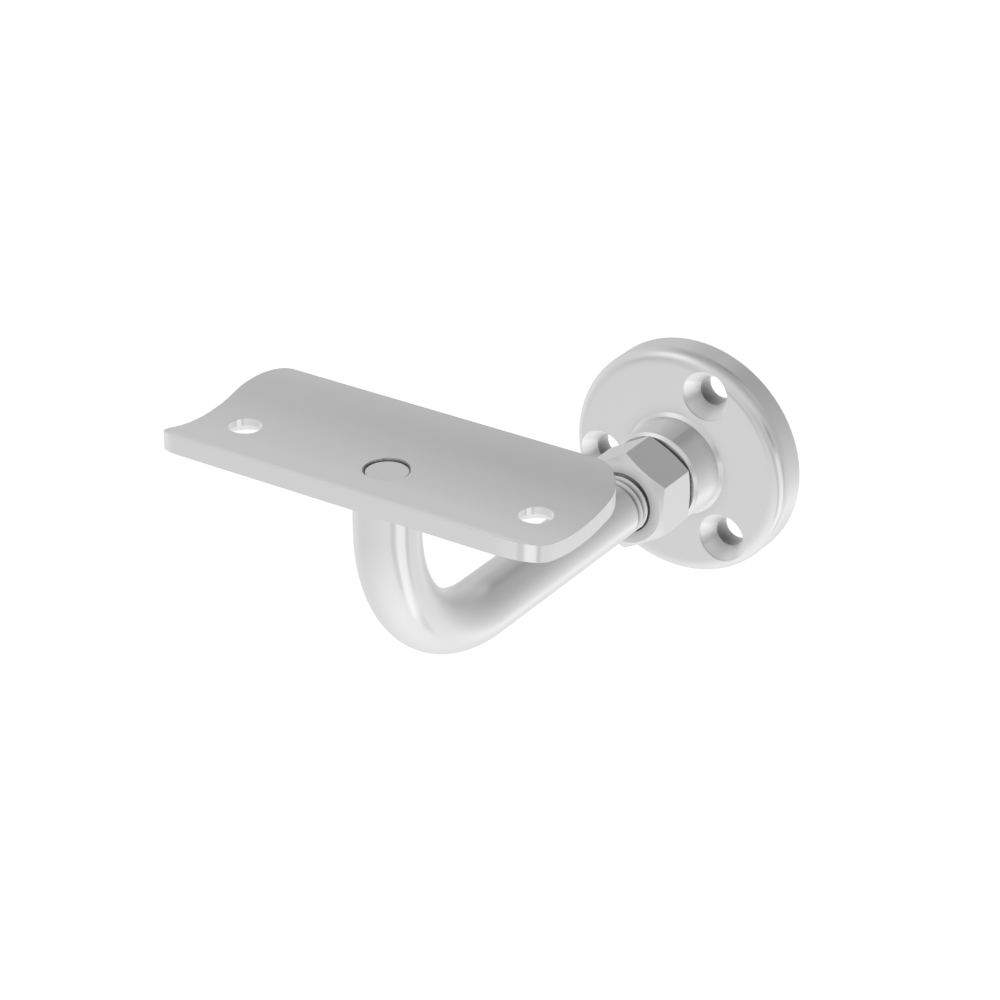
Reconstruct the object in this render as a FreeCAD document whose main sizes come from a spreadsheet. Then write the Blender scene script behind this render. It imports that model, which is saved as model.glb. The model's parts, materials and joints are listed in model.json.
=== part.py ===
import FreeCAD, Part
import os
import Sketcher

# Wall bracket for a round or oval handrail. The bar screws into the wall flange and is locked by a nut,
# turns up in one bend and carries a troughed plate that the rail is screwed to from below.
#
# Frame: origin at the centre of the flange's wall face, +Y into the wall, +X along the rail, +Z up.
# Every length is in millimetres.

SIZES = {
    "flange_dia": 48.0,
    "flange_thick": 7.3,
    "rim_round": 2.9,
    "hub_foot_dia": 20.6,
    "hub_front_dia": 19.6,
    "hub_height": 8.45,
    "hub_foot_chamfer": 0.7,
    "hub_lip_chamfer": 0.6,
    "wall_hole_circle": 35.0,
    "wall_hole_count": 3,
    "wall_hole_turn": 69.0,
    "wall_hole_dia": 6.1,
    "sink_dia": 10.3,
    "sink_angle": 68.0,
    "sink_land": 0.3,
    "bar_dia": 12.0,
    "bar_inset": 1.5,
    "bar_tip_chamfer": 1.2,
    "thread_play": 0.05,
    "projection": 105.8,
    "bend_radius": 28.7,
    "seat_height": 37.2,
    "pin_dia": 8.0,
    "pin_play": 0.25,
    "pin_sunk": 0.1,
    "pin_chamfer": 0.3,
    "nut_gap": 0.95,
    "nut_across": 18.0,
    "nut_thick": 10.8,
    "nut_face_dia": 17.0,
    "nut_crown_angle": 27.0,
    "nut_mouth_chamfer": 0.3,
    "plate_length": 78.5,
    "plate_width": 33.0,
    "plate_thick": 3.1,
    "plate_corner": 7.5,
    "trough_radius": 34.0,
    "rail_hole_inset": 8.75,
    "rail_hole_dia": 6.1,
}

# Places that several pieces share, written with the sizes above.
HUB_FRONT = "(Sizes.flange_thick + Sizes.hub_height)"
NUT_BACK = f"({HUB_FRONT} + Sizes.nut_gap)"
NUT_FRONT = f"({NUT_BACK} + Sizes.nut_thick)"
NUT_CORNER = "(Sizes.nut_across / 2 / cos(30 deg))"
BORE_DIA = "(Sizes.bar_dia + 2 * Sizes.thread_play)"
TROUGH_FLOOR = "(Sizes.seat_height + Sizes.plate_thick)"
TROUGH_CENTRE = f"({TROUGH_FLOOR} + Sizes.trough_radius)"
UNDERSIDE_RADIUS = "(Sizes.trough_radius + Sizes.plate_thick)"

NEAR = 1e-4
UP = FreeCAD.Vector(0, 0, 1)

doc = FreeCAD.newDocument("handrail_bracket")


def fill_sheet(name, sizes):
    """The spreadsheet that drives the model: a name, and its value under that name as alias."""
    sheet = doc.addObject("Spreadsheet::Sheet", name)
    for row, (alias, number) in enumerate(sizes.items(), start=1):
        sheet.set(f"A{row}", alias)
        sheet.set(f"B{row}", str(number))
        sheet.setAlias(f"B{row}", alias)
    doc.recompute()
    return sheet


sheet = fill_sheet("Sizes", SIZES)


def value(expression):
    """The number that an expression on the sheet gives now."""
    result = sheet.evalExpression(expression)
    return float(getattr(result, "Value", result))


def new_body(label):
    body = doc.addObject("PartDesign::Body", label)
    body.Label = label
    return body


def origin_part(body, role):
    for feature in body.Origin.OriginFeatures:
        if feature.Role == role:
            return feature
    raise RuntimeError(f"{body.Label} has no {role}")


def new_sketch(body, name, role, offset="0"):
    """A sketch on one of the body's own origin planes, moved along that plane's normal by offset."""
    sketch = body.newObject("Sketcher::SketchObject", name)
    sketch.AttachmentSupport = [(origin_part(body, role), "")]
    sketch.MapMode = "FlatFace"
    sketch.AttachmentOffset = FreeCAD.Placement(FreeCAD.Vector(0, 0, value(offset)), FreeCAD.Rotation())
    sketch.setExpression(".AttachmentOffset.Base.z", offset)
    return sketch


def bind(sketch, kind, expression, *items):
    """A dimension of the sketch that follows an expression on the sheet."""
    index = sketch.addConstraint(Sketcher.Constraint(kind, *items, value(expression)))
    sketch.setExpression(f"Constraints[{index}]", expression)


def pin_point(sketch, geometry, point, place):
    bind(sketch, "DistanceX", place[0], -1, 1, geometry, point)
    bind(sketch, "DistanceY", place[1], -1, 1, geometry, point)


def vector(place):
    return FreeCAD.Vector(value(place[0]), value(place[1]), 0)


def add_outline(sketch, corners):
    """Closed outline of straight edges through corners that are pairs of expressions."""
    count = len(corners)
    for number, corner in enumerate(corners):
        sketch.addGeometry(Part.LineSegment(vector(corner), vector(corners[(number + 1) % count])))
    for number in range(count):
        sketch.addConstraint(Sketcher.Constraint("Coincident", number, 2, (number + 1) % count, 1))
    for number, corner in enumerate(corners):
        pin_point(sketch, number, 1, corner)


def add_circle(sketch, centre, diameter):
    geometry = sketch.addGeometry(Part.Circle(vector(centre), UP, value(diameter) / 2))
    pin_point(sketch, geometry, 3, centre)
    bind(sketch, "Diameter", diameter, geometry)


def add_feature(body, kind, name, **settings):
    feature = body.newObject(f"PartDesign::{kind}", name)
    for key, setting in settings.items():
        setattr(feature, key, setting)
    return feature


def add_turned(body, kind, name, corners):
    """A Revolution or Groove about the bar's axis in the flange, from a half section in X and Y."""
    sketch = new_sketch(body, name + "_section", "XY_Plane")
    add_outline(sketch, corners)
    feature = add_feature(body, kind, name, Profile=sketch, ReferenceAxis=(sketch, ["V_Axis"]), Angle=360.0)
    doc.recompute()
    return feature


def add_dressed(body, kind, name, base, edges, size_name, size):
    """A Fillet or Chamfer on the edges of base, its size following the sheet."""
    feature = add_feature(body, kind, name, Base=(base, edges))
    setattr(feature, size_name, value(size))
    feature.setExpression(size_name, size)
    doc.recompute()
    return feature


def ring_edges(feature, diameter, depth):
    """Names of the circles about the Y axis with this diameter, this far in front of the wall."""
    names = []
    for number, edge in enumerate(feature.Shape.Edges, start=1):
        curve = edge.Curve
        if not isinstance(curve, Part.Circle):
            continue
        if abs(curve.Radius - value(diameter) / 2) > NEAR or abs(curve.Center.y + value(depth)) > NEAR:
            continue
        if abs(curve.Center.x) < NEAR and abs(curve.Center.z) < NEAR:
            names.append(f"Edge{number}")
    if not names:
        raise RuntimeError(f"no ring of {diameter} at {depth}")
    return names


def level_ring(feature, diameter, height):
    """Names of the level circles on the plate's centre line with this diameter and height."""
    names = []
    for number, edge in enumerate(feature.Shape.Edges, start=1):
        curve = edge.Curve
        if isinstance(curve, Part.Circle) and abs(curve.Radius - value(diameter) / 2) < NEAR:
            if abs(curve.Center.z - value(height)) < NEAR:
                names.append(f"Edge{number}")
    if not names:
        raise RuntimeError(f"no ring of {diameter} at height {height}")
    return names


def upright_edges(feature):
    """Names of the straight edges that stand parallel to Z."""
    names = []
    for number, edge in enumerate(feature.Shape.Edges, start=1):
        if isinstance(edge.Curve, Part.Line) and abs(edge.Curve.Direction.z) > 1 - NEAR:
            names.append(f"Edge{number}")
    return names


def make_wall_flange():
    """Turned rose with a tapered, tapped hub and three countersunk holes."""
    body = new_body("wall_flange")
    bore = f"{BORE_DIA} / 2"
    corners = [
        (bore, "0"),
        ("Sizes.flange_dia / 2", "0"),
        ("Sizes.flange_dia / 2", "-Sizes.flange_thick"),
        ("Sizes.hub_foot_dia / 2", "-Sizes.flange_thick"),
        ("Sizes.hub_front_dia / 2", f"-{HUB_FRONT}"),
        (bore, f"-{HUB_FRONT}"),
    ]
    turned = add_turned(body, "Revolution", "flange_turning", corners)
    rim = ring_edges(turned, "Sizes.flange_dia", "Sizes.flange_thick")
    rounded = add_dressed(body, "Fillet", "flange_rim", turned, rim, "Radius", "Sizes.rim_round")
    foot = ring_edges(rounded, "Sizes.hub_foot_dia", "Sizes.flange_thick")
    footed = add_dressed(body, "Chamfer", "hub_foot", rounded, foot, "Size", "Sizes.hub_foot_chamfer")
    lip = ring_edges(footed, "Sizes.hub_front_dia", HUB_FRONT)
    add_dressed(body, "Chamfer", "hub_lip", footed, lip, "Size", "Sizes.hub_lip_chamfer")

    # Each countersink starts below a short straight land at the face.
    centre = ("Sizes.wall_hole_circle / 2", "0")
    rim_place = new_sketch(body, "sink_rim_place", "XZ_Plane", "Sizes.flange_thick")
    add_circle(rim_place, centre, "Sizes.sink_dia")
    land = add_feature(body, "Pocket", "sink_land", Profile=rim_place)
    land.setExpression("Length", "Sizes.sink_land")
    place = new_sketch(body, "wall_hole_place", "XZ_Plane", "Sizes.flange_thick - Sizes.sink_land")
    add_circle(place, centre, "Sizes.wall_hole_dia")
    doc.recompute()
    hole = add_feature(body, "Hole", "wall_hole", Profile=place)
    doc.recompute()
    hole.ThreadType = "None"
    hole.DepthType = "ThroughAll"
    hole.HoleCutType = "Countersink"
    hole.HoleCutCustomValues = True
    hole.setExpression("Diameter", "Sizes.wall_hole_dia")
    hole.setExpression("HoleCutDiameter", "Sizes.sink_dia")
    hole.setExpression("HoleCutCountersinkAngle", "Sizes.sink_angle")
    doc.recompute()
    axis = (origin_part(body, "Y_Axis"), [""])
    pattern = add_feature(body, "PolarPattern", "wall_holes", Originals=[land, hole], Axis=axis, Angle=360.0)
    pattern.setExpression("Occurrences", "Sizes.wall_hole_count")
    body.Tip = pattern

    # The flange is screwed round on the bar until its holes stand at this angle.
    turn = FreeCAD.Rotation(FreeCAD.Vector(0, -1, 0), value("Sizes.wall_hole_turn"))
    body.Placement = FreeCAD.Placement(FreeCAD.Vector(), turn)
    body.setExpression(".Placement.Rotation.Angle", "Sizes.wall_hole_turn * 1 deg")
    return body


def make_locknut():
    """Hexagon nut on the bar's thread just clear of the hub, its corners chamfered at both ends."""
    body = new_body("locknut")
    hexagon = new_sketch(body, "nut_hexagon", "XZ_Plane", NUT_BACK)
    corners = []
    for corner in range(6):
        angle = f"{30 + 60 * corner} deg"
        corners.append((f"{NUT_CORNER} * cos({angle})", f"{NUT_CORNER} * sin({angle})"))
    add_outline(hexagon, corners)
    block = add_feature(body, "Pad", "nut_block", Profile=hexagon)
    block.setExpression("Length", "Sizes.nut_thick")
    doc.recompute()

    # Each end's cone starts at the rim of a round face and falls away past the corners.
    rim = "Sizes.nut_face_dia / 2"
    reach = f"(2 * ({NUT_CORNER} - {rim}))"
    outside = f"{rim} + {reach}"
    fall = f"{reach} * tan(Sizes.nut_crown_angle * 1 deg)"
    for end, level, inward in (("back", f"-{NUT_BACK}", "-"), ("front", f"-{NUT_FRONT}", "+")):
        corners = [(rim, level), (outside, level), (outside, f"{level} {inward} {fall}")]
        add_turned(body, "Groove", f"nut_{end}_crown", corners)

    bore = new_sketch(body, "nut_bore", "XZ_Plane", NUT_BACK)
    add_circle(bore, ("0", "0"), BORE_DIA)
    tapped = add_feature(body, "Pocket", "nut_tapping", Profile=bore, Type="ThroughAll", Reversed=True)
    doc.recompute()
    mouth = ring_edges(tapped, BORE_DIA, NUT_FRONT)
    add_dressed(body, "Chamfer", "nut_mouth", tapped, mouth, "Size", "Sizes.nut_mouth_chamfer")
    return body


def make_bracket_rod():
    """Round bar from the hub, bent up to the plate, with a shaped seat and a pin through the plate."""
    body = new_body("bracket_rod")
    spine = new_sketch(body, "bar_centre_line", "YZ_Plane")
    bar_end = ("-Sizes.bar_inset", "0")
    bend_start = ("Sizes.bend_radius - Sizes.projection", "0")
    bend_middle = ("Sizes.bend_radius * (1 - cos(45 deg)) - Sizes.projection",
                   "Sizes.bend_radius * (1 - sin(45 deg))")
    bend_end = ("-Sizes.projection", "Sizes.bend_radius")
    bar_top = ("-Sizes.projection", TROUGH_FLOOR)
    spine.addGeometry(Part.LineSegment(vector(bar_end), vector(bend_start)))
    spine.addGeometry(Part.Arc(vector(bend_start), vector(bend_middle), vector(bend_end)))
    spine.addGeometry(Part.LineSegment(vector(bend_end), vector(bar_top)))
    # The arc runs counter-clockwise, from the upright's foot at its start to the level run at its end.
    spine.addConstraint(Sketcher.Constraint("Tangent", 0, 2, 1, 2))
    spine.addConstraint(Sketcher.Constraint("Tangent", 1, 1, 2, 1))
    spine.addConstraint(Sketcher.Constraint("Horizontal", 0))
    spine.addConstraint(Sketcher.Constraint("Vertical", 2))
    bind(spine, "Radius", "Sizes.bend_radius", 1)
    pin_point(spine, 0, 1, bar_end)
    pin_point(spine, 2, 2, bar_top)

    section = new_sketch(body, "bar_section", "XZ_Plane", "Sizes.bar_inset")
    add_circle(section, ("0", "0"), "Sizes.bar_dia")
    doc.recompute()
    bar = add_feature(body, "AdditivePipe", "bent_bar", Profile=section, Spine=spine)
    doc.recompute()
    tip = ring_edges(bar, "Sizes.bar_dia", "Sizes.bar_inset")
    add_dressed(body, "Chamfer", "bar_tip", bar, tip, "Size", "Sizes.bar_tip_chamfer")

    underside = new_sketch(body, "seat_round", "YZ_Plane")
    add_circle(underside, ("-Sizes.projection", TROUGH_CENTRE), f"2 * {UNDERSIDE_RADIUS}")
    seat = add_feature(body, "Pocket", "plate_seat", Profile=underside, SideType="Symmetric")
    seat.setExpression("Length", "2 * Sizes.bar_dia")
    doc.recompute()

    # The pin starts inside the bar, a quarter of its diameter below the seat.
    root = "(Sizes.seat_height - Sizes.pin_dia / 4)"
    top = f"({TROUGH_FLOOR} - Sizes.pin_sunk)"
    circle = new_sketch(body, "pin_section", "XY_Plane", root)
    add_circle(circle, ("0", "-Sizes.projection"), "Sizes.pin_dia")
    pin = add_feature(body, "Pad", "plate_pin", Profile=circle)
    pin.setExpression("Length", f"{top} - {root}")
    doc.recompute()
    add_dressed(body, "Chamfer", "pin_edge", pin, level_ring(pin, "Sizes.pin_dia", top), "Size",
                "Sizes.pin_chamfer")
    return body


def make_rail_plate():
    """Plate with a trough along the rail, rounded corners, two rail holes and the pin's hole."""
    body = new_body("rail_plate")
    half_length = "Sizes.plate_length / 2"
    half_width = "Sizes.plate_width / 2"
    centre_line = "-Sizes.projection"
    spare = "Sizes.plate_thick"
    bottom = f"(Sizes.seat_height - {spare})"
    blank = new_sketch(body, "plate_blank", "XY_Plane", bottom)
    add_outline(blank, [
        (f"-{half_length}", f"{centre_line} - {half_width}"),
        (half_length, f"{centre_line} - {half_width}"),
        (half_length, f"{centre_line} + {half_width}"),
        (f"-{half_length}", f"{centre_line} + {half_width}"),
    ])
    block = add_feature(body, "Pad", "plate_block", Profile=blank)
    block.setExpression("Length", f"{TROUGH_CENTRE} - {bottom}")
    doc.recompute()
    add_dressed(body, "Fillet", "plate_corners", block, upright_edges(block), "Radius", "Sizes.plate_corner")

    hollow = new_sketch(body, "trough_round", "YZ_Plane")
    add_circle(hollow, (centre_line, TROUGH_CENTRE), "2 * Sizes.trough_radius")
    trough = add_feature(body, "Pocket", "trough", Profile=hollow, SideType="Symmetric")
    trough.setExpression("Length", "2 * Sizes.plate_length")
    doc.recompute()

    # What lies below the underside's round goes too, a little wider and deeper than the block.
    waste = new_sketch(body, "underside_waste", "YZ_Plane")
    side = f"({half_width} + {spare})"
    near, far = f"{centre_line} - {side}", f"{centre_line} + {side}"
    edge_level = f"{TROUGH_CENTRE} - sqrt({UNDERSIDE_RADIUS} ^ 2 - {side} ^ 2)"
    deep = f"{bottom} - {spare}"
    waste.addGeometry(Part.Arc(vector((near, edge_level)), vector((centre_line, "Sizes.seat_height")),
                               vector((far, edge_level))))
    corners = [(far, edge_level), (far, deep), (near, deep), (near, edge_level)]
    for start, end in zip(corners, corners[1:]):
        waste.addGeometry(Part.LineSegment(vector(start), vector(end)))
    for number in range(4):
        waste.addConstraint(Sketcher.Constraint("Coincident", number, 2, (number + 1) % 4, 1))
    pin_point(waste, 0, 3, (centre_line, TROUGH_CENTRE))
    bind(waste, "Radius", UNDERSIDE_RADIUS, 0)
    pin_point(waste, 2, 1, (far, deep))
    pin_point(waste, 2, 2, (near, deep))
    waste.addConstraint(Sketcher.Constraint("Vertical", 1))
    waste.addConstraint(Sketcher.Constraint("Vertical", 3))
    underside = add_feature(body, "Pocket", "underside", Profile=waste, SideType="Symmetric")
    underside.setExpression("Length", "2 * Sizes.plate_length")
    doc.recompute()

    above = f"{TROUGH_FLOOR} + Sizes.trough_radius"
    rail_hole_place = f"({half_length} - Sizes.rail_hole_inset)"
    holes = new_sketch(body, "plate_hole_places", "XY_Plane", above)
    for side in ("-", ""):
        add_circle(holes, (f"{side}{rail_hole_place}", centre_line), "Sizes.rail_hole_dia")
    add_circle(holes, ("0", centre_line), "Sizes.pin_dia + 2 * Sizes.pin_play")
    add_feature(body, "Pocket", "plate_holes", Profile=holes, Type="ThroughAll")
    doc.recompute()
    if body.Shape.Volume >= underside.Shape.Volume:
        raise RuntimeError("the plate's holes cut nothing")
    return body


def check_document():
    doc.recompute()
    for item in doc.Objects:
        if "Invalid" in item.State or "Error" in item.State:
            raise RuntimeError(f"{item.Label} failed: {item.State}")


def write_parts(bodies):
    os.makedirs("parts", exist_ok=True)
    for body in bodies:
        shape = body.Shape
        if shape.isNull() or not shape.isValid():
            raise RuntimeError(f"{body.Label} has no valid shape")
        if len(shape.Solids) != 1:
            raise RuntimeError(f"{body.Label} has {len(shape.Solids)} solids")
        shape.exportStep(f"parts/{body.Label}.step")
        print(body.Label, "volume", round(shape.Volume, 1), "box", shape.BoundBox)


pieces = [make_wall_flange(), make_bracket_rod(), make_locknut(), make_rail_plate()]
check_document()
write_parts(pieces)
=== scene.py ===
import json
import math

import bmesh
import bpy
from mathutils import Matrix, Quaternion, Vector


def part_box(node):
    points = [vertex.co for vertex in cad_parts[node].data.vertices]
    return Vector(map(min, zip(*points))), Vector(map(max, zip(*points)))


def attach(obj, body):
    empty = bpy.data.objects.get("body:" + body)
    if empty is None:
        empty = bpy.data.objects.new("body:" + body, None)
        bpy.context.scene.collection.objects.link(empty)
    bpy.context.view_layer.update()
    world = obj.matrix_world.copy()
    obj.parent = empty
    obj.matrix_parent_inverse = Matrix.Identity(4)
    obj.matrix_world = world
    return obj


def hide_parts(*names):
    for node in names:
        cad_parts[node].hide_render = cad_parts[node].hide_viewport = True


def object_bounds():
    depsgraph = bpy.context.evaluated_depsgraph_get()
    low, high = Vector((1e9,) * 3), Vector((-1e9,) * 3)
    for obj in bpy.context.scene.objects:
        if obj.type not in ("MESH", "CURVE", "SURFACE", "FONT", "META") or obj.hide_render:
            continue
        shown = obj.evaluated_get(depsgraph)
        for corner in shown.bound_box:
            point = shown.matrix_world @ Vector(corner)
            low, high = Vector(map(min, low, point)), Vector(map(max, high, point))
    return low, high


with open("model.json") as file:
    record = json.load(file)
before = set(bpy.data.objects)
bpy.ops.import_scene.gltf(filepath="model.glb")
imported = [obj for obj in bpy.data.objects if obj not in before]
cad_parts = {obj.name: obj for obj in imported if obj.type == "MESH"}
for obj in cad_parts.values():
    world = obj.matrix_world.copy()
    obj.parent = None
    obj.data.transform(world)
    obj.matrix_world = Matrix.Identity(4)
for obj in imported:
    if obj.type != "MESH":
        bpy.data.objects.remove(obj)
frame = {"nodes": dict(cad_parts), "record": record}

bl_info = {
    "name": "Handrail Bracket",
    "version": (1, 0, 0),
    "blender": (4, 5, 0),
    "location": "3D View > Sidebar > Bracket",
    "description": "Dresses the wall flange, bent bar, locknut and rail plate and sets up their studio",
    "category": "Object",
}

MM = 0.001
CAD_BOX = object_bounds()

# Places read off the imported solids.
BAR_LOW, BAR_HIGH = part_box("bracket_rod")
BAR_RADIUS = BAR_HIGH.x
BAR_TIP = BAR_HIGH.y
UPRIGHT_Y = BAR_LOW.y + BAR_RADIUS
PIN_TOP = BAR_HIGH.z
NUT_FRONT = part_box("locknut")[0].y
HUB_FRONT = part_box("wall_flange")[0].y
SEAT_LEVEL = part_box("rail_plate")[0].z
RAIL_SCREWS = next(mount for mount in frame["record"]["mounts"] if mount["name"] == "rail_screws")


class Signal:
    """A shader socket that can be reckoned with: each operator adds a Math node to its tree."""

    def __init__(self, bench, socket):
        self.bench = bench
        self.socket = socket

    def reckon(self, operation, *inputs):
        """The result of one Math node."""
        node = self.bench.node("ShaderNodeMath", {"operation": operation}, dict(enumerate(inputs)))
        return Signal(self.bench, node.outputs[0])

    def __add__(self, other):
        return self.reckon("ADD", self, other)

    def __radd__(self, other):
        return self.reckon("ADD", other, self)

    def __sub__(self, other):
        return self.reckon("SUBTRACT", self, other)

    def __rsub__(self, other):
        return self.reckon("SUBTRACT", other, self)

    def __mul__(self, other):
        return self.reckon("MULTIPLY", self, other)

    def __rmul__(self, other):
        return self.reckon("MULTIPLY", other, self)

    def __truediv__(self, other):
        return self.reckon("DIVIDE", self, other)

    def __pow__(self, other):
        return self.reckon("POWER", self, other)

    def __abs__(self):
        return self.reckon("ABSOLUTE", self)

    def __gt__(self, other):
        return self.reckon("GREATER_THAN", self, other)

    def at_least(self, lowest):
        return self.reckon("MAXIMUM", self, lowest)

    def at_most(self, highest):
        return self.reckon("MINIMUM", self, highest)

    def clamped(self):
        return self.bench.signal("ShaderNodeClamp", 0, {}, {0: self})

    def angle_with(self, other):
        """The angle whose tangent is this over the other."""
        return self.reckon("ARCTAN2", self, other)


class Bench:
    """The node tree of one material or world."""

    def __init__(self, owner):
        owner.use_nodes = True
        self.tree = owner.node_tree
        self.tree.nodes.clear()

    def node(self, kind, settings=None, inputs=None):
        """One node with its settings, such as a Math node's operation, and its inputs' values or links."""
        made = self.tree.nodes.new(kind)
        for name, setting in (settings or {}).items():
            setattr(made, name, setting)
        for name, source in (inputs or {}).items():
            if isinstance(source, Signal):
                source = source.socket
            socket = self.find(made.inputs, name)
            if isinstance(source, bpy.types.NodeSocket):
                self.tree.links.new(source, socket)
            else:
                socket.default_value = source
        return made

    @staticmethod
    def find(sockets, name):
        """A socket by its place, name or identifier."""
        if isinstance(name, int) or name in sockets:
            return sockets[name]
        return next(socket for socket in sockets if socket.identifier == name)

    def signal(self, kind, output, settings, inputs):
        """One node's output, ready to be reckoned with."""
        return Signal(self, self.find(self.node(kind, settings, inputs).outputs, output))


def grey(level):
    """An opaque grey."""
    return (level, level, level, 1.0)


class BarSettings(bpy.types.PropertyGroup):
    """Sizes of the bent bar and its thread."""

    bend_radius: bpy.props.FloatProperty(
        name="Bend Radius", description="Radius of the bar's centre line in its bend",
        default=28.7 * MM, min=12 * MM, unit="LENGTH", precision=4)
    tip_chamfer: bpy.props.FloatProperty(
        name="Tip Chamfer", description="Chamfer at the bar's end inside the hub",
        default=1.2 * MM, min=0.1 * MM, unit="LENGTH", precision=4)
    thread_pitch: bpy.props.FloatProperty(
        name="Thread Pitch", description="Distance from one turn of the thread to the next",
        default=1.75 * MM, min=0.5 * MM, unit="LENGTH", precision=5)
    thread_depth: bpy.props.FloatProperty(
        name="Thread Depth", description="Depth of the thread's flanks under the bar's surface",
        default=1.07 * MM, min=0.1 * MM, unit="LENGTH", precision=5)
    thread_end: bpy.props.FloatProperty(
        name="Thread End", description="Distance from the nut's front to where the thread runs out",
        default=4.6 * MM, min=2 * MM, unit="LENGTH", precision=4)
    thread_runout: bpy.props.FloatProperty(
        name="Thread Runout", description="Length over which the thread grows shallow",
        default=1.6 * MM, min=0.2 * MM, unit="LENGTH", precision=4)
    thread_phase: bpy.props.FloatProperty(
        name="Thread Phase", description="Place of a groove on the bar's +X side, from the nut's front",
        default=-0.35 * MM, unit="LENGTH", precision=5)
    trough_radius: bpy.props.FloatProperty(
        name="Underside Radius",
        description="Radius of the plate's underside, which the bar's seat follows",
        default=37.1 * MM, min=20 * MM, unit="LENGTH", precision=4)
    pin_diameter: bpy.props.FloatProperty(
        name="Pin Diameter", description="Diameter of the pin that stands in the plate",
        default=7.6 * MM, min=2 * MM, unit="LENGTH", precision=4)
    pin_lean: bpy.props.FloatVectorProperty(
        name="Pin Lean", description="How far the pin stands off the middle of its hole",
        default=(0.3 * MM, -0.22 * MM), size=2, subtype="XYZ", unit="LENGTH", precision=5)
    pin_chamfer: bpy.props.FloatProperty(
        name="Pin Chamfer", description="Chamfer on the pin's top edge",
        default=0.05 * MM, min=0.02 * MM, unit="LENGTH", precision=5)


class PlateSettings(bpy.types.PropertyGroup):
    """Sizes of the countersinks on the rail plate's underside."""

    sink_land: bpy.props.FloatProperty(
        name="Hole Land", description="Straight length of a rail screw hole above its countersink",
        default=1.3 * MM, min=0.2 * MM, unit="LENGTH", precision=4)
    sink_angle: bpy.props.FloatProperty(
        name="Countersink Angle", description="Angle across the countersink's cone",
        default=math.radians(90), min=math.radians(40), max=math.radians(140), subtype="ANGLE")


class SteelSettings(bpy.types.PropertyGroup):
    """Colour, sheen and grain of the stainless steel pieces."""

    colour: bpy.props.FloatVectorProperty(
        name="Steel Colour", description="Colour that the bare steel sends back",
        default=(0.78, 0.78, 0.78), min=0, max=1, size=3, subtype="COLOR")
    roughness: bpy.props.FloatProperty(
        name="Roughness", description="Roughness of the satin finish",
        default=0.15, min=0.05, max=0.9, subtype="FACTOR")
    roughness_change: bpy.props.FloatProperty(
        name="Roughness Change", description="How far the grain moves the roughness up and down",
        default=0.05, min=0, max=0.3, subtype="FACTOR")
    shade_change: bpy.props.FloatProperty(
        name="Shade Change", description="How far the grain darkens the steel's colour",
        default=0.03, min=0, max=0.3, subtype="FACTOR")
    grain_width: bpy.props.FloatProperty(
        name="Grain Width", description="Distance from one grain line to the next",
        default=0.25 * MM, min=0.05 * MM, unit="LENGTH", precision=5)
    grain_length: bpy.props.FloatProperty(
        name="Grain Length", description="Length of a grain line",
        default=9.0 * MM, min=0.5 * MM, unit="LENGTH", precision=4)
    grain_depth: bpy.props.FloatProperty(
        name="Grain Depth", description="Depth of the grain lines",
        default=0.004 * MM, min=0, unit="LENGTH", precision=6)
    edge_round: bpy.props.FloatProperty(
        name="Edge Round", description="Radius of the small round that a broken edge shows",
        default=0.15 * MM, min=0, unit="LENGTH", precision=5)


class StudioSettings(bpy.types.PropertyGroup):
    """Camera, floor and light."""

    camera_azimuth: bpy.props.FloatProperty(
        name="Camera Azimuth", description="Turn of the camera about the upright, from -Y towards +X",
        default=math.radians(33.53), subtype="ANGLE")
    camera_elevation: bpy.props.FloatProperty(
        name="Camera Elevation", description="Height of the camera's line of sight above level",
        default=math.radians(27.47), subtype="ANGLE")
    camera_distance: bpy.props.FloatProperty(
        name="Camera Distance", description="Distance from the camera to the point it aims at",
        default=0.655, min=0.1, unit="LENGTH", precision=4)
    camera_aim: bpy.props.FloatVectorProperty(
        name="Camera Aim", description="Point that the camera looks at",
        default=(-0.0269, -0.03, -0.0061), size=3, subtype="XYZ", unit="LENGTH", precision=5)
    camera_lens: bpy.props.FloatProperty(
        name="Focal Length", description="Focal length for a sensor 36 mm wide",
        default=118.6, min=20, precision=3)
    floor_drop: bpy.props.FloatProperty(
        name="Floor Drop", description="Distance from the bracket's lowest point down to the floor",
        default=0.15, min=0, unit="LENGTH")
    floor_colour: bpy.props.FloatVectorProperty(
        name="Floor Colour", description="Colour of the floor",
        default=(0.9, 0.9, 0.9), min=0, max=1, size=3, subtype="COLOR")
    floor_glow: bpy.props.FloatProperty(
        name="Floor Glow", description="Light that lifts the floor to white where the camera sees it",
        default=0.46, min=0, max=1)
    room_level: bpy.props.FloatProperty(
        name="Room Level", description="Brightness of the studio's plain walls, where 1 is white",
        default=0.80, min=0, max=1)


BAR_SIDES = 96
RING_TURNS = [math.tau * side / BAR_SIDES for side in range(BAR_SIDES)]
BEND_STEPS = 48
# Faces that meet at more than this angle keep a crisp edge between them.
SHARP = math.radians(28)
# Points nearer to each other than this are one point, and shorter edges than this are none.
SAME_POINT = 2e-7
NO_LENGTH = 1e-7


def add_rings(mesh, rings):
    """Vertices of rings, all with as many points, joined by quads from each ring to the next."""
    rows = [[mesh.verts.new(point) for point in ring] for ring in rings]
    for row, after in zip(rows, rows[1:]):
        count = len(row)
        for place in range(count):
            following = (place + 1) % count
            mesh.faces.new((row[place], row[following], after[following], after[place]))
    return rows


def add_strip(mesh, columns):
    """Vertices of columns, each with as many points, joined by quads from each column to the next."""
    rows = [[mesh.verts.new(point) for point in column] for column in columns]
    for row, after in zip(rows, rows[1:]):
        for place in range(len(row) - 1):
            mesh.faces.new((row[place], row[place + 1], after[place + 1], after[place]))


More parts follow.
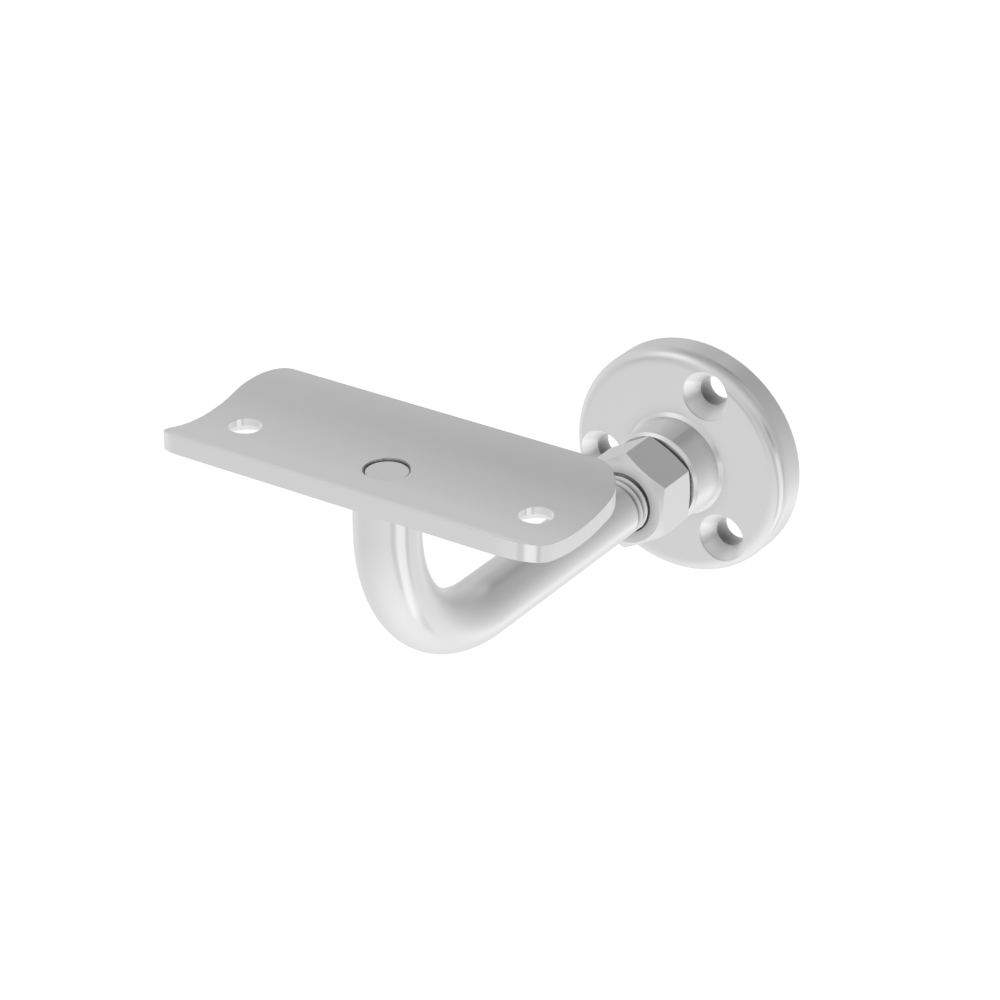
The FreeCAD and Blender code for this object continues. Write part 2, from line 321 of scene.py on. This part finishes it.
def finish_mesh(mesh, name):
    """Joins what meets, points every face outwards and shades smooth up to the sharp angle."""
    bmesh.ops.remove_doubles(mesh, verts=mesh.verts, dist=SAME_POINT)
    bmesh.ops.dissolve_degenerate(mesh, edges=mesh.edges, dist=NO_LENGTH)
    bmesh.ops.recalc_face_normals(mesh, faces=mesh.faces)
    data = bpy.data.meshes.new(name)
    mesh.to_mesh(data)
    mesh.free()
    data.shade_smooth()
    data.set_sharp_from_angle(angle=SHARP)
    piece = bpy.data.objects.new(name, data)
    bpy.context.scene.collection.objects.link(piece)
    return piece


# The groove's section over one pitch. Each pair holds a place along the pitch and the groove's depth
# there, as shares of the pitch and of the flanks' depth. The root dips a little below the flanks' ends.
CREST_HALF = 1 / 16
ROOT_HALF = 1 / 8
ROOT_DIP = 1.12
THREAD_FORM = (
    (0, 0), (CREST_HALF, 0),
    (0.5 - ROOT_HALF, 1), (0.5, ROOT_DIP), (0.5 + ROOT_HALF, 1),
    (1 - CREST_HALF, 0), (1, 0),
)


def level_ring(depth, radius):
    """A ring about the bar's level run, its centre this far in front of the wall."""
    return [Vector((radius * math.cos(turn), -depth, radius * math.sin(turn))) for turn in RING_TURNS]


def bend_ring(settings, bend):
    """A ring about the bend's centre line, this far round the bend."""
    centre_y = UPRIGHT_Y + settings.bend_radius * (1 - math.sin(bend))
    centre_z = settings.bend_radius * (1 - math.cos(bend))
    ring = []
    for turn in RING_TURNS:
        inward = BAR_RADIUS * math.sin(turn)
        ring.append(Vector((BAR_RADIUS * math.cos(turn), centre_y + inward * math.sin(bend),
                            centre_z + inward * math.cos(bend))))
    return ring


def seat_ring(settings, radius, lean=(0.0, 0.0)):
    """A ring of the bar's top, which follows the round of the plate's underside."""
    centre_z = SEAT_LEVEL + settings.trough_radius
    ring = []
    for turn in RING_TURNS:
        along = radius * math.sin(turn) + lean[1]
        level = centre_z - math.sqrt(settings.trough_radius ** 2 - along ** 2)
        ring.append(Vector((lean[0] + radius * math.cos(turn), UPRIGHT_Y + along, level)))
    return ring


def flat_ring(centre, radius, level):
    """A level ring, such as one round the pin or a countersink."""
    return [Vector((centre[0] + radius * math.cos(turn), centre[1] + radius * math.sin(turn), level))
            for turn in RING_TURNS]


def thread_columns(settings, start, end):
    """Columns of points along the helical groove between two places, each column one pitch long."""
    pitch = settings.thread_pitch
    first = -NUT_FRONT + settings.thread_phase
    first_turn = math.floor((start - first) / pitch) - 2
    last_turn = math.ceil((end - first) / pitch) + 2
    columns = []
    for step in range((last_turn - first_turn) * BAR_SIDES + 1):
        turns = first_turn + step / BAR_SIDES
        angle = math.tau * turns
        column = []
        for share, form in THREAD_FORM:
            place = first + pitch * (turns + share - 0.5)
            fade_in = (place - start) / settings.thread_runout
            fade_out = (end - place) / settings.thread_runout
            cut = settings.thread_depth * form * min(1, max(0, min(fade_in, fade_out)))
            radius = BAR_RADIUS - cut
            column.append(Vector((radius * math.cos(angle), -min(end, max(start, place)),
                                  radius * math.sin(angle))))
        columns.append(column)
    return columns


# Distance from the hub's front to the first turn of the thread, out of sight inside the nut.
THREAD_START = 2 * MM


def build_bar(settings):
    """The whole bar: tip, thread, level run, bend, upright, seat and pin."""
    mesh = bmesh.new()
    tip = -BAR_TIP
    thread_start = -HUB_FRONT + THREAD_START
    thread_end = -NUT_FRONT + settings.thread_end
    bend_start = -UPRIGHT_Y - settings.bend_radius
    tip_rows = add_rings(mesh, [
        level_ring(tip, BAR_RADIUS - settings.tip_chamfer),
        level_ring(tip + settings.tip_chamfer, BAR_RADIUS),
        level_ring(thread_start, BAR_RADIUS),
    ])
    mesh.faces.new(tip_rows[0])
    add_strip(mesh, thread_columns(settings, thread_start, thread_end))
    pin_radius = settings.pin_diameter / 2
    pin_centre = (settings.pin_lean[0], UPRIGHT_Y + settings.pin_lean[1])
    rings = [level_ring(thread_end, BAR_RADIUS), level_ring(bend_start, BAR_RADIUS)]
    rings += [bend_ring(settings, math.pi / 2 * step / BEND_STEPS) for step in range(1, BEND_STEPS + 1)]
    rings += [
        seat_ring(settings, BAR_RADIUS),
        seat_ring(settings, pin_radius, settings.pin_lean),
        flat_ring(pin_centre, pin_radius, PIN_TOP - settings.pin_chamfer),
        flat_ring(pin_centre, pin_radius - settings.pin_chamfer, PIN_TOP),
    ]
    rows = add_rings(mesh, rings)
    mesh.faces.new(rows[-1])
    return finish_mesh(mesh, "bent_bar")


# How far a cutting cone reaches past what it cuts, at either end.
OVERLAP = 0.5 * MM


def add_sink_cutter(mesh, settings, centre):
    """A closed cone that widens downwards from inside the rail screw hole with this centre."""
    hole_radius = RAIL_SCREWS["dims"]["hole_r_mm"] * MM
    slope = math.tan(settings.sink_angle / 2)
    trough_floor = 2 * centre.z - SEAT_LEVEL
    sink_start = trough_floor - settings.sink_land
    bottom = SEAT_LEVEL - OVERLAP
    rows = add_rings(mesh, [
        flat_ring(centre, hole_radius - OVERLAP * slope, sink_start + OVERLAP),
        flat_ring(centre, hole_radius + (sink_start - bottom) * slope, bottom),
    ])
    for row in rows:
        mesh.faces.new(row)


def build_plate(settings):
    """The rail plate with its rail screw holes countersunk from below, where the screws go in."""
    cutters = bmesh.new()
    for side in (-1, 1):
        middle = Vector(RAIL_SCREWS["pos_m"])
        middle.x += side * RAIL_SCREWS["dims"]["spacing_x_mm"] / 2 * MM
        add_sink_cutter(cutters, settings, middle)
    cutter = finish_mesh(cutters, "sink_cutter")
    solid = frame["nodes"]["rail_plate"].data.copy()
    # The imported normals no longer fit the faces round a cut.
    solid.attributes.remove(solid.attributes["custom_normal"])
    plate = bpy.data.objects.new("troughed_plate", solid)
    bpy.context.scene.collection.objects.link(plate)
    cut = plate.modifiers.new("sinks", "BOOLEAN")
    cut.operation = "DIFFERENCE"
    cut.solver = "EXACT"
    cut.object = cutter
    bpy.context.view_layer.update()
    shape = bpy.data.meshes.new_from_object(plate.evaluated_get(bpy.context.evaluated_depsgraph_get()))
    plate.modifiers.clear()
    plate.data = shape
    bpy.data.objects.remove(cutter)
    shape.shade_smooth()
    shape.set_sharp_from_angle(angle=SHARP)
    return plate


def bar_grain(place):
    """Drawn grain, which runs along the bar and round its bend."""
    bend_radius = bpy.context.scene.bracket_bar.bend_radius
    x, y, z = place
    behind = y - (UPRIGHT_Y + bend_radius)
    past_y, short_y = behind.at_least(0), behind.at_most(0)
    above = z - bend_radius
    past_z, short_z = above.at_least(0), above.at_most(0)
    inward = bend_radius - (short_y * short_y + short_z * short_z) ** 0.5
    along = past_z - past_y + bend_radius * short_z.angle_with(short_y)
    return x, inward, along


def ring_grain(place):
    """Turned grain, which runs round the flange's axis."""
    x, y, z = place
    radius = (x * x + z * z) ** 0.5
    return radius, y, radius * z.angle_with(x)


def plate_grain(place):
    """Rolled grain, which runs along the plate."""
    x, y, z = place
    return y, z, x


def nut_grain(place):
    """Drawn grain, which runs along the hexagon bar that the nut was cut from."""
    x, y, z = place
    return x, z, y


# Painted shade in each piece's hollows, which darkens its colour where little is open round it: how far
# away a surface still counts, the share of open directions at which the colour is painted black, and the
# share from which it isn't darkened.
HOLLOW_PAINTED_SHADE = {
    "bar_steel": (1.5 * MM, 0.40, 0.80),
    "flange_steel": (8 * MM, 0.36, 0.58),
    "nut_steel": (8 * MM, 0.38, 0.78),
    "plate_steel": (2 * MM, 0.50, 0.85),
}
GRAIN_DETAIL = 3.0
GRAIN_ROUGHNESS = 0.6
PAINTED_SHADE_SAMPLES = 6
EDGE_SAMPLES = 4


def satin_steel(name, settings, grain):
    """Satin stainless steel, its grain lines running as the function grain gives, with shade painted into
    its colour in hollows.
    """
    material = bpy.data.materials.new(name)
    bench = Bench(material)
    spot = bench.node("ShaderNodeTexCoord").outputs["Object"]
    parts = bench.node("ShaderNodeSeparateXYZ", {}, {0: spot})
    place = [Signal(bench, output) for output in parts.outputs]
    across, beside, along = grain(place)
    lines = bench.node("ShaderNodeCombineXYZ", {}, {
        0: across / settings.grain_width,
        1: beside / settings.grain_width,
        2: along / settings.grain_length,
    })
    streaks = bench.signal("ShaderNodeTexNoise", 0, {}, {
        "Vector": lines.outputs[0], "Scale": 1.0, "Detail": GRAIN_DETAIL, "Roughness": GRAIN_ROUGHNESS})
    colour = bench.node("ShaderNodeMix", {"data_type": "RGBA"}, {
        "Factor_Float": streaks,
        "A_Color": (*[part * (1 - settings.shade_change) for part in settings.colour], 1),
        "B_Color": (*settings.colour, 1),
    })
    # Painted shade: ambient occlusion darkens the base colour in thread grooves, holes and gaps between
    # parts.
    reach, black, clear = HOLLOW_PAINTED_SHADE[name]
    open_share = bench.signal(
        "ShaderNodeAmbientOcclusion", "AO", {"samples": PAINTED_SHADE_SAMPLES}, {"Distance": reach})
    unshaded = ((open_share - black) / (clear - black)).clamped()
    colour = bench.node("ShaderNodeMix", {"data_type": "RGBA"}, {
        "Factor_Float": unshaded, "A_Color": grey(0.0), "B_Color": bench.find(colour.outputs, "Result_Color")})
    rounded = bench.node("ShaderNodeBevel", {"samples": EDGE_SAMPLES}, {"Radius": settings.edge_round})
    bump = bench.node("ShaderNodeBump", {}, {
        "Strength": 1.0, "Distance": settings.grain_depth, "Height": streaks, "Normal": rounded.outputs[0]})
    shader = bench.node("ShaderNodeBsdfPrincipled", {}, {
        "Base Color": bench.find(colour.outputs, "Result_Color"),
        "Metallic": 1.0,
        "Roughness": settings.roughness + settings.roughness_change * (streaks - 0.5),
        "Normal": bump.outputs[0],
    })
    bench.node("ShaderNodeOutputMaterial", {}, {"Surface": shader.outputs[0]})
    return material


def dress(piece, material):
    """Gives a piece its finish. It mirrors the studio alone, as in the photograph, and no other piece."""
    piece.data.materials.clear()
    piece.data.materials.append(material)
    piece.visible_glossy = False


class BRACKET_OT_bent_bar(bpy.types.Operator):
    """Build the bent bar with its thread, seat and pin, and finish it in satin steel"""

    bl_idname = "bracket.bent_bar"
    bl_label = "Bent Bar"

    def execute(self, context):
        scene = context.scene
        bar = build_bar(scene.bracket_bar)
        dress(bar, satin_steel("bar_steel", scene.bracket_steel, bar_grain))
        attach(bar, "root")
        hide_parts("bracket_rod")
        return {"FINISHED"}


class BRACKET_OT_wall_flange(bpy.types.Operator):
    """Finish the turned wall flange"""

    bl_idname = "bracket.wall_flange"
    bl_label = "Wall Flange"

    def execute(self, context):
        steel = satin_steel("flange_steel", context.scene.bracket_steel, ring_grain)
        dress(frame["nodes"]["wall_flange"], steel)
        return {"FINISHED"}


class BRACKET_OT_locknut(bpy.types.Operator):
    """Finish the locknut"""

    bl_idname = "bracket.locknut"
    bl_label = "Locknut"

    def execute(self, context):
        steel = satin_steel("nut_steel", context.scene.bracket_steel, nut_grain)
        dress(frame["nodes"]["locknut"], steel)
        return {"FINISHED"}


class BRACKET_OT_rail_plate(bpy.types.Operator):
    """Build the troughed plate that the rail is screwed to and finish it"""

    bl_idname = "bracket.rail_plate"
    bl_label = "Rail Plate"

    def execute(self, context):
        plate = build_plate(context.scene.bracket_plate)
        dress(plate, satin_steel("plate_steel", context.scene.bracket_steel, plate_grain))
        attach(plate, "root")
        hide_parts("rail_plate")
        return {"FINISHED"}


def direction(azimuth, elevation):
    """Unit vector towards an azimuth, from -Y towards +X, and an elevation."""
    level = math.cos(elevation)
    return Vector((math.sin(azimuth) * level, -math.cos(azimuth) * level, math.sin(elevation)))


SENSOR_WIDTH = 36


def add_camera(settings):
    """A camera that looks at the bracket as the photograph does."""
    data = bpy.data.cameras.new("studio_camera")
    data.sensor_width = SENSOR_WIDTH
    data.lens = settings.camera_lens
    data.clip_start = 10 * MM
    camera = bpy.data.objects.new("studio_camera", data)
    bpy.context.scene.collection.objects.link(camera)
    back = direction(settings.camera_azimuth, settings.camera_elevation)
    camera.location = Vector(settings.camera_aim) + settings.camera_distance * back
    camera.rotation_mode = "QUATERNION"
    camera.rotation_quaternion = (-back).to_track_quat("-Z", "Y")
    bpy.context.scene.camera = camera


FLOOR_HALF = 4.0


def add_floor(settings):
    """A pale floor. Only the camera sees its glow, which lifts it to white and lights nothing."""
    mesh = bmesh.new()
    level = CAD_BOX[0][2] - settings.floor_drop
    corners = ((-1, -1), (1, -1), (1, 1), (-1, 1))
    mesh.faces.new([mesh.verts.new((x * FLOOR_HALF, y * FLOOR_HALF, level)) for x, y in corners])
    floor = finish_mesh(mesh, "studio_floor")
    material = bpy.data.materials.new("pale_floor")
    bench = Bench(material)
    plain = bench.node("ShaderNodeBsdfDiffuse", {}, {"Color": (*settings.floor_colour, 1)})
    glow = bench.node("ShaderNodeEmission", {}, {"Strength": settings.floor_glow})
    lifted = bench.node("ShaderNodeAddShader", {}, {0: plain.outputs[0], 1: glow.outputs[0]})
    ray = bench.node("ShaderNodeLightPath")
    seen = bench.node("ShaderNodeMixShader", {}, {
        0: ray.outputs["Is Camera Ray"], 1: plain.outputs[0], 2: lifted.outputs[0]})
    bench.node("ShaderNodeOutputMaterial", {}, {"Surface": seen.outputs[0]})
    floor.data.materials.append(material)
    floor.visible_glossy = False


# The studio round the bracket: azimuth from -Y towards +X and elevation in degrees, how fast each falls
# off away from its middle, and the light it adds. Dark cards take light away.
SOFTBOXES = {
    "white_sweep": (75, -75, 2, 0.31),
    "key_box": (-48, 45, 18, 0.32),
    "left_box": (-98, -15, 18, 0.14),
    "back_box": (132, 45, 18, 0.16),
    "low_right_box": (160, -38, 40, 0.19),
    "top_back_box": (-179, 33, 60, 0.13),
}
DARK_CARDS = {
    "dim_ceiling": (150, 50, 2, 0.42),
    "card_below_key": (-43, 15, 18, 0.17),
    "card_by_camera": (26, 8, 18, 0.18),
    "front_card": (-11, -8, 50, 0.18),
    "right_card": (86, 0, 6, 0.12),
    "right_front_card": (59, 15, 50, 0.32),
    "left_top_card": (-90, 67, 18, 0.11),
    "back_card": (-176, -8, 18, 0.17),
    "low_back_card": (-143, -8, 35, 0.14),
    "high_back_card": (-129, 55, 50, 0.05),
    "left_back_card": (-134, 12, 60, 0.08),
    "top_card": (170, 48, 60, 0.10),
}
# Tall narrow panels with crisp sides: azimuth, elevation and lean in degrees, half width, half height and
# softness of the sides as parts of the distance, and the light that the panel adds or takes away.
STRIPS = {
    "white_strip": (79.5, -28, 35, 0.19, 0.55, 0.04, 0.20),
    "dark_strip_in_front": (51, -27, 35, 0.085, 0.50, 0.06, -0.16),
    "dark_strip_behind": (105, -32, 22, 0.09, 0.50, 0.05, -0.14),
}


def along_axis(bench, looking, axis):
    """How much of the direction looked at lies along an axis."""
    return bench.signal(
        "ShaderNodeVectorMath", "Value", {"operation": "DOT_PRODUCT"}, {0: looking, 1: axis})


def strip_light(bench, looking, azimuth, elevation, lean, half_width, half_height, softness, strength):
    """What one tall panel adds to the room's level in the direction looked at."""
    towards = direction(math.radians(azimuth), math.radians(elevation))
    tilt = Quaternion(towards, math.radians(lean))
    sideways = tilt @ direction(math.radians(azimuth + 90), 0)
    upwards = sideways.cross(towards)
    inside = along_axis(bench, looking, towards) > 0.0
    for axis, half in ((sideways, half_width), (upwards, half_height)):
        apart = abs(along_axis(bench, looking, axis))
        inside = inside * ((half - apart) / softness + 0.5).clamped()
    return strength * inside


# The brightest level that the room can reach, where 1 is white.
BRIGHTEST = 1.5


def set_world(settings):
    """A studio room with soft boxes, dark cards and strips, and a plain white background for the camera."""
    world = bpy.data.worlds.new("studio_world")
    bpy.context.scene.world = world
    bench = Bench(world)
    looking = bench.node("ShaderNodeTexCoord").outputs["Generated"]
    level = settings.room_level
    for rig, sign in ((SOFTBOXES, 1), (DARK_CARDS, -1)):
        for azimuth, elevation, falloff, strength in rig.values():
            towards = direction(math.radians(azimuth), math.radians(elevation))
            facing = along_axis(bench, looking, towards)
            level = sign * strength * facing.at_least(0) ** falloff + level
    for strip in STRIPS.values():
        level = level + strip_light(bench, looking, *strip)
    dark = bench.node("ShaderNodeBackground", {}, {"Color": grey(0.0)})
    bright = bench.node("ShaderNodeBackground", {}, {"Color": grey(1.0), "Strength": BRIGHTEST})
    white = bench.node("ShaderNodeBackground", {}, {"Color": grey(1.0)})
    room = bench.node("ShaderNodeMixShader", {}, {
        0: level / BRIGHTEST, 1: dark.outputs[0], 2: bright.outputs[0]})
    ray = bench.node("ShaderNodeLightPath")
    seen = bench.node("ShaderNodeMixShader", {}, {
        0: ray.outputs["Is Camera Ray"], 1: room.outputs[0], 2: white.outputs[0]})
    bench.node("ShaderNodeOutputWorld", {}, {"Surface": seen.outputs[0]})


class BRACKET_OT_studio(bpy.types.Operator):
    """Set up the pale floor, soft light and camera"""

    bl_idname = "bracket.studio"
    bl_label = "Studio"

    def execute(self, context):
        settings = context.scene.bracket_studio
        context.scene.view_settings.view_transform = "Standard"
        add_floor(settings)
        set_world(settings)
        add_camera(settings)
        return {"FINISHED"}


class BRACKET_PT_panel(bpy.types.Panel):
    """Lists the bracket's settings and pieces"""

    bl_idname = "BRACKET_PT_panel"
    bl_label = "Handrail Bracket"
    bl_space_type = "VIEW_3D"
    bl_region_type = "UI"
    bl_category = "Bracket"

    def draw(self, context):
        layout = self.layout
        for group_name in SETTING_GROUPS:
            group = getattr(context.scene, group_name)
            box = layout.box()
            box.label(text=group.bl_rna.description)
            for name in group.__annotations__:
                box.prop(group, name)
        for operator in OPERATORS:
            layout.operator(operator.bl_idname)


SETTING_GROUPS = {
    "bracket_bar": BarSettings,
    "bracket_plate": PlateSettings,
    "bracket_steel": SteelSettings,
    "bracket_studio": StudioSettings,
}
OPERATORS = (
    BRACKET_OT_bent_bar, BRACKET_OT_wall_flange, BRACKET_OT_locknut, BRACKET_OT_rail_plate,
    BRACKET_OT_studio,
)


def register():
    """Adds the settings, operators and panel to Blender."""
    for name, group in SETTING_GROUPS.items():
        bpy.utils.register_class(group)
        setattr(bpy.types.Scene, name, bpy.props.PointerProperty(type=group))
    for operator in OPERATORS:
        bpy.utils.register_class(operator)
    bpy.utils.register_class(BRACKET_PT_panel)


def unregister():
    """Takes the panel, operators and settings out of Blender again."""
    bpy.utils.unregister_class(BRACKET_PT_panel)
    for operator in reversed(OPERATORS):
        bpy.utils.unregister_class(operator)
    for name, group in reversed(SETTING_GROUPS.items()):
        delattr(bpy.types.Scene, name)
        bpy.utils.unregister_class(group)


def main():
    """Runs every operator once."""
    register()
    bpy.ops.bracket.bent_bar()
    bpy.ops.bracket.wall_flange()
    bpy.ops.bracket.locknut()
    bpy.ops.bracket.rail_plate()
    bpy.ops.bracket.studio()


if __name__ == "__main__":
    main()
